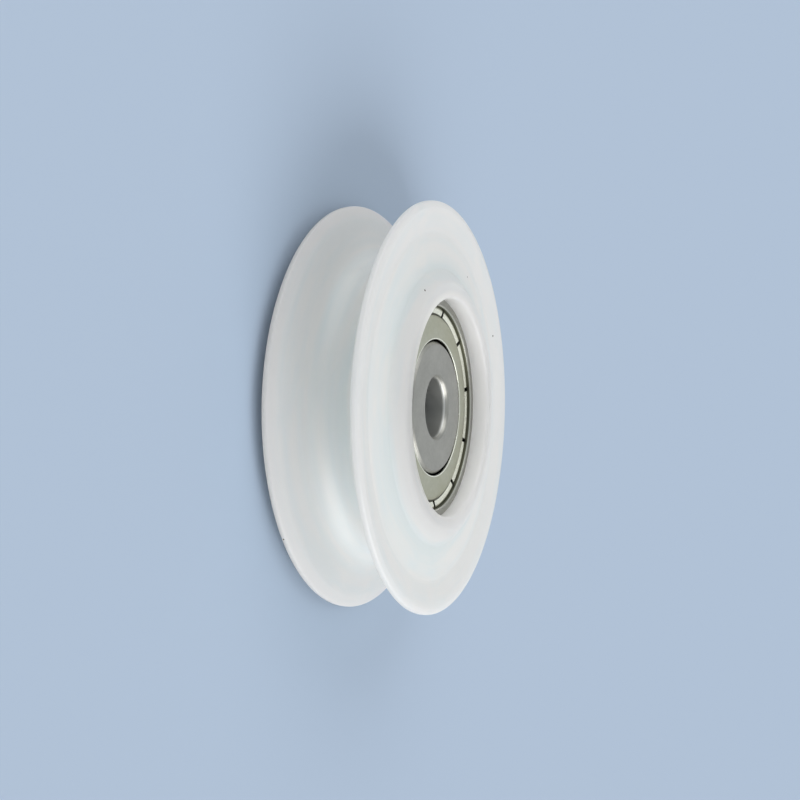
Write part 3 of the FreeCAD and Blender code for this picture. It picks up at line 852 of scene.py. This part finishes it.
class OBJECT_OT_u_groove_studio(bpy.types.Operator):
    """Sets the floor, the lamps, the world and the camera"""
    bl_idname = "object.u_groove_studio"
    bl_label = "Studio"

    def execute(self, context):
        studio = context.scene.studio
        self.lay_floor(context, studio)
        self.light_world(context, studio)
        self.hang_lamp(context, "key_lamp", KEY_WAY, studio.key_strength)
        self.hang_lamp(context, "fill_lamp", FILL_WAY, studio.fill_strength)
        self.hang_lamp(context, "rim_lamp", RIM_WAY, studio.rim_strength)
        self.set_camera(context, studio)
        context.scene.view_settings.view_transform = "Standard"
        return {"FINISHED"}

    def lay_floor(self, context, studio):
        """A pale floor: its own colour to the camera, a neutral one to the light on the object."""
        shape = bmesh.new()
        bmesh.ops.create_grid(shape, x_segments=1, y_segments=1, size=FLOOR_REACH)
        mesh = bpy.data.meshes.new("floor")
        shape.to_mesh(mesh)
        shape.free()
        floor = bpy.data.objects.new("floor", mesh)
        context.scene.collection.objects.link(floor)
        look = Shading("pale_floor")
        colour = look.blend(seen_or_mirrored(look.tree), opaque(studio.floor_bounce),
                            opaque(studio.floor))
        look.feed(colour, look.surface.inputs["Base Color"])
        look.surface.inputs["Roughness"].default_value = 0.9
        look.surface.inputs["Specular IOR Level"].default_value = 0.0
        dress(floor, look.material)

    def light_world(self, context, studio):
        """Even light from all round. The camera and the steel see a pale backdrop."""
        world = bpy.data.worlds.new("studio_world")
        world.use_nodes = True
        tree = world.node_tree
        light = tree.nodes["Background"]
        light.inputs["Color"].default_value = (1.0, 1.0, 1.0, 1.0)
        light.inputs["Strength"].default_value = studio.ambient
        backdrop = tree.nodes.new("ShaderNodeBackground")
        backdrop.inputs["Color"].default_value = opaque(studio.backdrop)
        backdrop.inputs["Strength"].default_value = 1.0
        choice = tree.nodes.new("ShaderNodeMixShader")
        tree.links.new(seen_or_mirrored(tree), choice.inputs[0])
        tree.links.new(light.outputs[0], choice.inputs[1])
        tree.links.new(backdrop.outputs[0], choice.inputs[2])
        tree.links.new(choice.outputs[0], tree.nodes["World Output"].inputs["Surface"])
        context.scene.world = world

    def hang_lamp(self, context, name, way, strength):
        """A wide soft lamp, far off in that direction, so that it lights the floor evenly."""
        data = bpy.data.lights.new(name, "SUN")
        data.energy = strength
        data.angle = context.scene.studio.lamp_width
        lamp = bpy.data.objects.new(name, data)
        lamp.rotation_euler = way.to_track_quat("Z", "Y").to_euler()
        context.scene.collection.objects.link(lamp)

    def set_camera(self, context, studio):
        """The photograph's view: the wheel seems to stand up, though it lies on its hub."""
        data = bpy.data.cameras.new("camera")
        data.lens = studio.camera_lens
        data.sensor_width = SENSOR_WIDTH
        data.clip_start = 1.0 * MM
        data.clip_end = 500.0
        camera = bpy.data.objects.new("camera", data)
        middle = Vector((0.0, 0.0, middle_height()))
        offset = Vector((studio.camera_side, studio.camera_rise, studio.camera_distance))
        camera.matrix_world = (Matrix.Translation(middle)
                               @ Matrix.Rotation(-studio.camera_tilt, 4, "Y")
                               @ Matrix.Rotation(studio.camera_roll, 4, "Z")
                               @ Matrix.Translation(offset))
        context.scene.collection.objects.link(camera)
        context.scene.camera = camera


class VIEW3D_PT_u_groove_wheel(bpy.types.Panel):
    """Lists the steps that make the wheel"""
    bl_label = "U groove wheel"
    bl_space_type = "VIEW_3D"
    bl_region_type = "UI"
    bl_category = "U groove wheel"

    def draw(self, context):
        for step in STEPS:
            self.layout.operator(step.bl_idname)
        for group in GROUPS:
            settings = getattr(context.scene, group)
            for name in settings.bl_rna.properties.keys():
                if name not in ("rna_type", "name"):
                    self.layout.prop(settings, name)


GROUPS = {
    "wheel_sizes": WheelSizes,
    "ring_sizes": RingSizes,
    "shield_sizes": ShieldSizes,
    "finishes": Finishes,
    "studio": StudioSizes,
}
STEPS = (
    OBJECT_OT_u_groove_wheel,
    OBJECT_OT_u_groove_outer_ring,
    OBJECT_OT_u_groove_inner_ring,
    OBJECT_OT_u_groove_shields,
    OBJECT_OT_u_groove_balls_and_cage,
    OBJECT_OT_u_groove_studio,
)


def register():
    """Registers the settings, the steps and the panel."""
    for name, group in GROUPS.items():
        bpy.utils.register_class(group)
        setattr(bpy.types.Scene, name, PointerProperty(type=group))
    for step in STEPS:
        bpy.utils.register_class(step)
    bpy.utils.register_class(VIEW3D_PT_u_groove_wheel)


def unregister():
    """Takes them away again."""
    bpy.utils.unregister_class(VIEW3D_PT_u_groove_wheel)
    for step in reversed(STEPS):
        bpy.utils.unregister_class(step)
    for name, group in GROUPS.items():
        delattr(bpy.types.Scene, name)
        bpy.utils.unregister_class(group)


def main():
    """Makes the wheel, piece by piece, and then the studio."""
    register()
    bpy.ops.object.u_groove_wheel()
    bpy.ops.object.u_groove_outer_ring()
    bpy.ops.object.u_groove_inner_ring()
    bpy.ops.object.u_groove_shields()
    bpy.ops.object.u_groove_balls_and_cage()
    bpy.ops.object.u_groove_studio()


if __name__ == "__main__":
    main()
